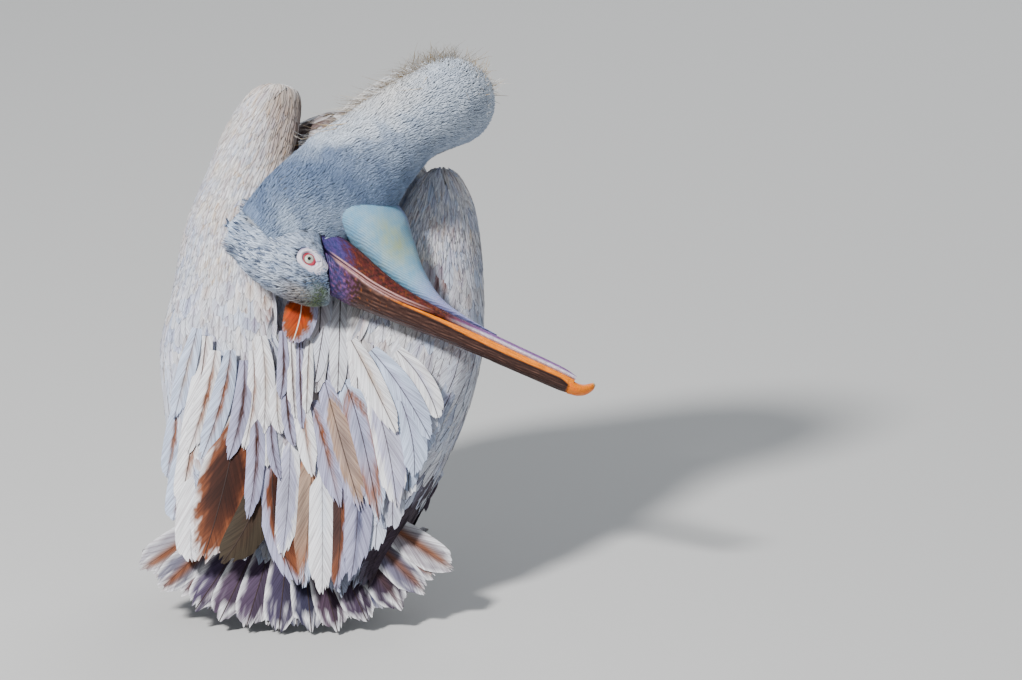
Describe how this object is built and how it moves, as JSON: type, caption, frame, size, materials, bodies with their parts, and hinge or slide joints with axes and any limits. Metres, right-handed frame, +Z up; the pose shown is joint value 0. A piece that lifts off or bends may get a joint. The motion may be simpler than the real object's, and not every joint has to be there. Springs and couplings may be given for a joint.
{
  "type": "dalmatian pelican",
  "caption": "Still life-size model of a young pelican, standing and preening, its neck bent over the shoulder and its long bill laid across its back.",
  "frame": {"origin": "centre of the bounding box at the level of the soles of the feet", "axes": "+Z up, +Y the way the bird's breast faces, +X its right side, towards which the bill points"},
  "size_m": [0.592, 0.5342, 0.6701],
  "materials": {
    "plumage": "soft contour feathers, off-white with faint grey and buff",
    "brown_feathers": "long feathers with brown centres and pale edges",
    "tail_feathers": "stiff tail feathers, grey centres and worn white edges",
    "neck_plush": "short velvety blue-grey feathers",
    "upper_bill": "dark brown-violet horn with an orange cutting edge",
    "lower_bill": "red-brown horn, violet at the base",
    "nail": "orange horn with a greenish tip",
    "pouch_skin": "thin finely creased skin, pale blue-green",
    "eye": "wet pale iris with a small dark pupil",
    "foot_skin": "scaly grey skin",
    "claw": "dark horn"
  },
  "bodies": {
    "root": {"thigh_left": "plumage", "shank_left": "foot_skin", "foot_left": "foot_skin", "claw_left_outer": "claw", "claw_left_middle": "claw", "claw_left_inner": "claw", "claw_left_hind": "claw", "thigh_right": "plumage", "shank_right": "foot_skin", "foot_right": "foot_skin", "claw_right_outer": "claw", "claw_right_middle": "claw", "claw_right_inner": "claw", "claw_right_hind": "claw", "trunk": "plumage", "neck_upper": "neck_plush", "neck_bend_head_side": "neck_plush", "neck_bend_body_side": "neck_plush", "neck_base": "neck_plush", "wing_left_coverts": "plumage", "wing_left_flight": "plumage", "wing_right_coverts": "plumage", "wing_right_flight": "plumage", "scapulars_right": "plumage", "tertials_left": "brown_feathers", "tail": "tail_feathers", "eye_left": "eye", "eye_right": "eye", "head": "neck_plush", "bill_upper": "upper_bill", "bill_nail": "nail", "bill_lower": "lower_bill", "pouch": "pouch_skin"}
  },
  "joints": []
}
